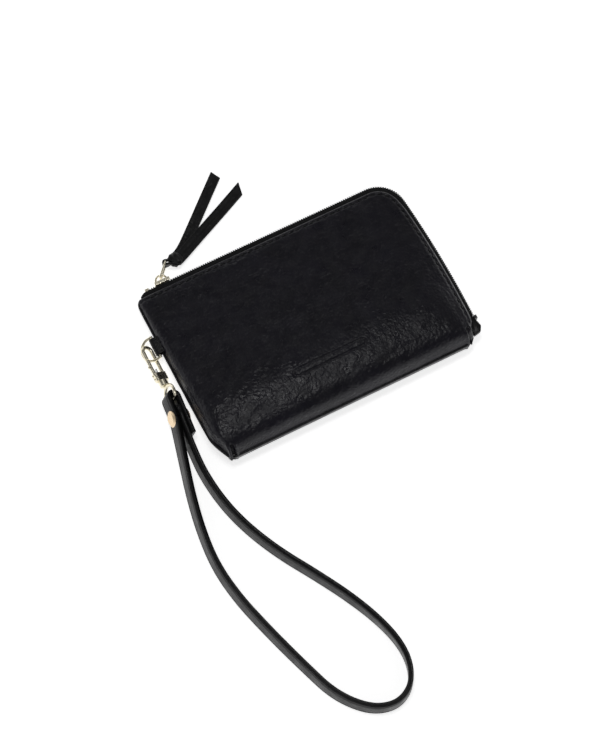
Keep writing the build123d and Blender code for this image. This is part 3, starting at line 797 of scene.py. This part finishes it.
def corner_thread():
    """Waxed thread that closes the left boxed corner, down its groove."""
    gap = 0.5
    down = [(-48.6, 16.4), (-50.0, 14.2), (-50.8, 12.0), (-51.2, 9.6), (-50.9, 6.0), (-50.4, 2.4)]
    line = even_line([(CORNER_SEAMS[0], y, z) for y, z in down], gap)
    section = round_profile(0.28, 8)
    tangent = unit(np.gradient(line, axis=0))
    side = np.array([1.0, 0, 0])
    other = np.cross(tangent, side)
    pulse = 1 + 0.25 * np.cos(np.arange(len(line)) * gap * 2 * math.pi / 2.6)
    spokes = section[None, :, :1] * side + section[None, :, 1:] * other[:, None]
    rings = line[:, None] + spokes * pulse[:, None, None]
    return list(rings.reshape(-1, 3)), tube_faces(*rings.shape[:2])


left_thread = mesh_object("left_corner_thread", *corner_thread(), THREAD)
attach(left_thread, "pouch")
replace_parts(left_thread, "left_corner_seam")


# --------------------------------------------------------------------- zip ---
ZIP_START = -74.6
ZIP_END = -42.0
COIL_START = -68.4
COIL_END = -39.6
COIL_PITCH = 1.25
COIL_R = 0.62
COIL_LIFT = 0.68
COIL_WIRE_R = 0.21
COIL_STEPS = 12
CORD_R = 0.2
CORD_LIFT = 1.62
TAPE_T = 0.4
TAPE_LIFT = 1.55


def zip_line(inset, start=ZIP_START, end=ZIP_END, gap=1.0):
    """Plan line that follows the zip at an inset from its outline."""
    radius = CORNER_R - inset
    places = [(start, ZIP_Y - inset), (CORNER_X, ZIP_Y - inset)]
    for a in np.linspace(0, math.pi / 2, 25)[1:-1]:
        places.append((CORNER_X + radius * math.sin(a), CORNER_Y + radius * math.cos(a)))
    places += [(ZIP_X - inset, CORNER_Y), (ZIP_X - inset, end)]
    return even_line(places, gap)


def zip_tape(name, side, node):
    """Woven tape from under the leather edge out to the coil."""
    insets = np.array([8.0, 6.5, 5.4, 4.6, 3.8, 3.0, 2.3, 1.7, 1.25])
    count = 300
    grid = []
    for inset in insets:
        line = zip_line(inset, gap=0.5)
        at = np.linspace(0, len(line) - 1, count)
        x = np.interp(at, np.arange(len(line)), line[:, 0])
        y = np.interp(at, np.arange(len(line)), line[:, 1])
        if side > 0:
            under = front_form(x, y) - LEATHER - 1.1
            near = part_z(y) + TAPE_LIFT
        else:
            under = back_form(x, y) + LEATHER + 0.35
            near = part_z(y) - TAPE_LIFT
        y = y - 0.11 * np.maximum(-70.4 - x, 0) ** 2
        reach = step(1.2, 5.2, np.full_like(x, inset))
        z = near + (under - near) * reach
        z += 0.08 * np.sin(zip_run(x, y) * 2 * math.pi / 9.0) * reach
        grid.append(np.stack([x, y, z], axis=-1))
    grid = np.array(grid)
    lifted = grid + np.array([0, 0, TAPE_T if side > 0 else -TAPE_T])
    piece = mesh_object(name, *thick_grid(bowed(lifted), bowed(grid)), TAPE)
    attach(piece, "pouch")
    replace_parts(piece, node)


zip_tape("zip_tape_upper", 1, "zip_tape_front")
zip_tape("zip_tape_lower", -1, "zip_tape_back")


def zip_coil(name, side, node):
    """Nylon coil: a flattened helix along the edge of its tape, with its sewing thread."""
    gap = 0.25
    base = zip_line(0.95, COIL_START, COIL_END, gap)
    run = np.arange(len(base)) * gap
    tangent = unit(np.gradient(np.column_stack([base, np.zeros(len(base))]), axis=0))
    outward = np.cross(tangent, UP)
    fine = np.linspace(0, len(base) - 1, int(run[-1] / COIL_PITCH * COIL_STEPS))
    cols = [np.interp(fine, np.arange(len(base)), a) for a in (base[:, 0], base[:, 1], run)]
    stations = np.arange(len(base))
    lateral = np.stack([np.interp(fine, stations, outward[:, k]) for k in range(3)], axis=1)
    angle = 2 * math.pi * cols[2] / COIL_PITCH + (math.pi if side > 0 else 0)
    centre = np.stack([cols[0], cols[1], part_z(cols[1]) + side * COIL_LIFT], axis=1)
    sideways = lateral * (COIL_R * np.cos(angle))[:, None]
    turns = centre + sideways + UP * (COIL_R * np.sin(angle))[:, None]
    helix = sweep(turns, round_profile(COIL_WIRE_R, 6))
    cord_plan = zip_line(1.5, COIL_START, COIL_END, 1.0)
    cord_line = np.column_stack([cord_plan, np.zeros(len(cord_plan))])
    cord_line[:, 2] = part_z(cord_line[:, 1]) + side * CORD_LIFT
    cord = sweep(cord_line, round_profile(CORD_R, 6))
    points, faces = join([helix, cord])
    piece = mesh_object(name, bowed(points), faces, COIL)
    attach(piece, "pouch")
    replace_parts(piece, node)


zip_coil("zip_coil_upper", 1, "zip_coil_front")
zip_coil("zip_coil_lower", -1, "zip_coil_back")


def thread_stitch(centre, direction, normal, length, radius):
    """One stitch: a short thread that dips into the leather at both ends."""
    direction, normal = unit(direction), unit(normal)
    side = np.cross(direction, normal)
    section = round_profile(radius, 8)
    rings = []
    stations = np.linspace(-1, 1, 9)
    for t in stations:
        lift = radius * 0.9 * (1 - t ** 4) - radius * 1.1 * t ** 8
        thin = 1 - 0.35 * t ** 6
        middle = centre + direction * (t * length / 2) + normal * lift
        rings.append(middle + (section[:, :1] * side + section[:, 1:] * normal) * thin)
    return list(np.array(rings).reshape(-1, 3)), tube_faces(len(stations), len(section))


def front_surface(x, y):
    x, y = np.array([x]), np.array([y])
    return float((front_form(x, y) + front_detail(x, y))[0])


def edge_stitching():
    inset = FRONT_INSET + STITCH_IN
    line = zip_line(inset, -71.0, -39.0, STITCH_PITCH / 2)
    parts = []
    for i in range(1, len(line) - 1, 2):
        x, y = line[i]
        ahead = line[i + 1] - line[i - 1]
        ahead = ahead / np.linalg.norm(ahead)
        d = 0.6
        rise = front_surface(x + ahead[0] * d, y + ahead[1] * d)
        rise -= front_surface(x - ahead[0] * d, y - ahead[1] * d)
        aside = np.array([-ahead[1], ahead[0]])
        fall = float(front_form(np.array([x + aside[0]]), np.array([y + aside[1]]))[0])
        fall -= float(front_form(np.array([x - aside[0]]), np.array([y - aside[1]]))[0])
        along = unit([ahead[0], ahead[1], rise / (2 * d)])
        across = unit([aside[0], aside[1], fall / 2])
        normal = np.cross(along, across)
        centre = np.array([x, y, front_surface(x, y)]) + normal * 0.02
        parts.append(thread_stitch(centre, along, normal * np.sign(normal[2]), STITCH_LEN, STITCH_R))
    return join(parts)


stitch_points, stitch_faces = edge_stitching()
stitching = mesh_object("edge_stitches", bowed(stitch_points, 1.0), stitch_faces, THREAD)
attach(stitching, "pouch")
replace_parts(stitching, "front_edge_stitching")


def soft_block(name, corners, low, high, bevel, material):
    """A flat leather piece cut to a plan outline, with rounded edges."""
    work = bmesh.new()
    bottom = [work.verts.new((x * MM, y * MM, low * MM)) for x, y in corners]
    top = [work.verts.new((x * MM, y * MM, high * MM)) for x, y in corners]
    work.faces.new(bottom[::-1])
    work.faces.new(top)
    for i in range(len(corners)):
        k = (i + 1) % len(corners)
        work.faces.new((bottom[i], bottom[k], top[k], top[i]))
    bmesh.ops.bevel(
        work, geom=list(work.edges), offset=bevel * MM, segments=3, profile=0.5, affect="EDGES")
    bmesh.ops.recalc_face_normals(work, faces=work.faces)
    mesh = bpy.data.meshes.new(name)
    work.to_mesh(mesh)
    work.free()
    mesh.materials.append(material)
    mesh.shade_smooth()
    piece = bpy.data.objects.new(name, mesh)
    bpy.context.collection.objects.link(piece)
    return piece


tab_z = part_z(-46)
END_TAB = [(70.2, -41.0), (73.4, -41.2), (74.5, -46.6), (72.8, -49.4), (68.6, -50.2), (69.2, -45.0)]
end_tab = soft_block("zip_end_leather", END_TAB, tab_z - 1.3, tab_z + 1.5, 0.55, EDGE_BLACK)
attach(end_tab, "pouch")
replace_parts(end_tab, "zip_end_tab")

# --------------------------------------------------------------- ring tab ---
RING_X = -79.5
RING_Z = 6.6
TAB_Y = 20.0
TAB_HALF = 4.8
TAB_R = 1.45
TAB_STITCHES = 4
TAB_STITCH_PITCH = 2.3
TAB_STITCH_LEN = 1.6
TAB_STITCH_R = 0.24


def ring_tab():
    """Leather loop round the ring's bar, its two leaves sewn into the side seam."""
    high, low = RING_Z + TAB_R, RING_Z - TAB_R
    places = [(-75.6, high + 0.25), (SEAM_X, high + 0.1), (RING_X, high)]
    for a in np.linspace(math.pi / 2, 3 * math.pi / 2, 13)[1:-1]:
        places.append((RING_X + TAB_R * math.cos(a), RING_Z + TAB_R * math.sin(a)))
    places += [(RING_X, low), (SEAM_X, low + 0.1), (-75.9, low + 0.25)]
    line = even_line([(x, TAB_Y, z) for x, z in places], 0.45)
    section = band_profile(0.98, 2 * TAB_HALF, corner=0.32, groove=0.1, inset=0.9)
    return swept_in_plane(line, section, np.array([0.0, 1.0, 0.0]))


tab_piece = mesh_object("ring_tab_leather", *ring_tab(), EDGE_BLACK)
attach(tab_piece, "pouch")
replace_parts(tab_piece, "d_ring_tab")
tab_threads = []
for k in range(TAB_STITCHES):
    stitch_y = TAB_Y + (k - (TAB_STITCHES - 1) / 2) * TAB_STITCH_PITCH
    spot = np.array([-77.9, stitch_y, RING_Z + 2.0])
    tab_threads.append(thread_stitch(
        spot, (0.12, 1.0, 0.0), (-0.05, 0, 1.0), TAB_STITCH_LEN, TAB_STITCH_R))
tab_sewing = mesh_object("ring_tab_stitches", *join(tab_threads), THREAD)
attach(tab_sewing, "pouch")
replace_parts(tab_sewing, "tab_stitches")

# ----------------------------------------------------------------- the pull ---
SLIDER_X = -60.6
LINK_Y = 54.35
LINK_LEN = 9.0
LINK_TURN = math.radians(47)
PULL_AT = np.array([
    SLIDER_X + LINK_LEN * math.cos(LINK_TURN), LINK_Y + LINK_LEN * math.sin(LINK_TURN), PART_Z])
PULL_TURN_R = 1.3
TAIL_T = 1.3
TAIL_NECK_W = 4.0
TAIL_WIDENS = 2.4


def pull_strip():
    """One leather strip: a tail, round the link, and the second tail."""
    first = [(-7.8, 97.0, 0.75), (-20, 86.0, 0.78), (-33, 74.2, 0.8), (-44, 64.4, 1.0),
             (-50.5, 61.6, 3.4), (-53.2, 62.3, 4.4)]
    second = [(-53.2, 59.5, 4.4), (-50.0, 59.4, 3.8), (-45.5, 61.6, 2.4), (-33, 67.7, 2.1),
              (-24, 72.0, 1.6), (-13, 77.4, 0.8), (0.6, 83.9, 0.75)]
    turn = [(PULL_AT[0] + PULL_TURN_R * math.cos(a), PULL_AT[1] + PULL_TURN_R * math.sin(a), PART_Z)
            for a in np.radians([105, 150, 215, 270, 315])]
    line = even_line(smooth_line(first + turn + second, 2), 0.9)
    run = run_along(line)
    middle = run[np.argmin(np.linalg.norm(line - PULL_AT, axis=1))]
    away = run - middle
    flat = step(1.6, 8, np.abs(away))
    roll = np.radians(np.where(away < 0, 86, -86)) * flat
    width = TAIL_NECK_W + TAIL_WIDENS * step(2, 8, np.abs(away))
    sections = [band_profile(TAIL_T, w, corner=0.3, groove=0.3, inset=2.6) for w in width]
    half_up = width / 2 * np.cos(roll) + 0.6 * np.abs(np.sin(roll))
    line[:, 2] = np.maximum(line[:, 2], half_up + 0.02)
    return sweep(line, np.array(sections), roll, slant=(0.3, -0.72))


def pull_knot():
    """The strip's own wrap round both tails, a soft lump close to the link."""
    start = PULL_AT + np.array([1.9, -0.3, -0.6])
    end = np.array([-45.0, 61.6, 2.6])
    line = start + np.linspace(0, 1, 22)[:, None] * (end - start)
    t = np.linspace(0, 1, 22)
    fat = np.sqrt(np.clip(1 - (2 * t - 1) ** 4, 0.04, 1)) * (1 + 0.08 * np.cos(t * 6 * math.pi))
    angles = np.linspace(0, 2 * math.pi, 24, endpoint=False)
    square = (np.abs(np.cos(angles)) ** 3 + np.abs(np.sin(angles)) ** 3) ** (-1 / 3)
    section = np.stack([np.cos(angles) * square * 3.7, np.sin(angles) * square * 1.9], axis=1)
    return sweep(line, section[None] * fat[:, None, None])


pull = mesh_object("pull_strip", *pull_strip(), PULL_BLACK)
knot = mesh_object("pull_knot", *pull_knot(), PULL_BLACK)
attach(knot, "pull")
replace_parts(knot, "zip_pull")
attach(pull, "pull")
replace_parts(pull, "zip_pull")

# ---------------------------------------------------------- floor and light ---
floor_mesh = bpy.data.meshes.new("floor")
SPAN = 6.0
FLOOR_DROP = 0.00005
FLOOR_GLOW = 0.72
floor_corners = [(-SPAN, -SPAN, 0), (SPAN, -SPAN, 0), (SPAN, SPAN, 0), (-SPAN, SPAN, 0)]
floor_mesh.from_pydata(floor_corners, [], [(0, 1, 2, 3)])
floor = bpy.data.objects.new("floor", floor_mesh)
bpy.context.collection.objects.link(floor)
floor.location = (0, 0, -FLOOR_DROP)
paper = Nodes("paper")
paper_tint = paper.colours(paper.noise(6, 2), [(0.2, (0.93, 0.93, 0.93)), (0.8, (0.95, 0.95, 0.95))])
paper.link(paper_tint, paper.shader.inputs["Base Color"])
paper.set(Roughness=0.9, Specular_IOR_Level=0.1)
paper.set(Emission_Color=(1.0, 1.0, 1.0, 1.0), Emission_Strength=FLOOR_GLOW)
floor_mesh.materials.append(paper.material)

HORIZON_LIGHT = 0.75
ZENITH_LIGHT = 0.14
world = bpy.data.worlds.new("studio")
bpy.context.scene.world = world
world.use_nodes = True
world.node_tree.nodes["Background"].inputs["Color"].default_value = (1, 1, 1, 1)
sky = world.node_tree.nodes
sky_split = sky.new("ShaderNodeSeparateXYZ")
sky_level = sky.new("ShaderNodeMapRange")
sky_level.interpolation_type = "SMOOTHSTEP"
sky_level.inputs["From Min"].default_value = 0.25
sky_level.inputs["From Max"].default_value = 0.5
sky_level.inputs["To Min"].default_value = HORIZON_LIGHT
sky_level.inputs["To Max"].default_value = ZENITH_LIGHT
sky_place = sky.new("ShaderNodeTexCoord")
world.node_tree.links.new(sky_place.outputs["Generated"], sky_split.inputs["Vector"])
world.node_tree.links.new(sky_split.outputs["Z"], sky_level.inputs["Value"])
world.node_tree.links.new(sky_level.outputs["Result"], sky["Background"].inputs["Strength"])


def area_light(name, place, target, size, power):
    data = bpy.data.lights.new(name, "AREA")
    data.shape = "RECTANGLE"
    data.size, data.size_y = size
    data.energy = power
    light = bpy.data.objects.new(name, data)
    bpy.context.collection.objects.link(light)
    light.location = place
    light.rotation_euler = (Vector(target) - Vector(place)).to_track_quat("-Z", "Y").to_euler()


area_light("key", (-0.05, 0.14, 1.5), (-0.02, -0.03, 0), (0.5, 0.3), 4.2)
area_light("fill", (0.3, -1.6, 0.5), (0, -0.05, 0), (1.0, 0.5), 0.8)
area_light("back", (-0.2, 1.7, 0.6), (0, 0.0, 0), (1.8, 0.3), 1.6)
bpy.context.scene.view_settings.view_transform = "Standard"
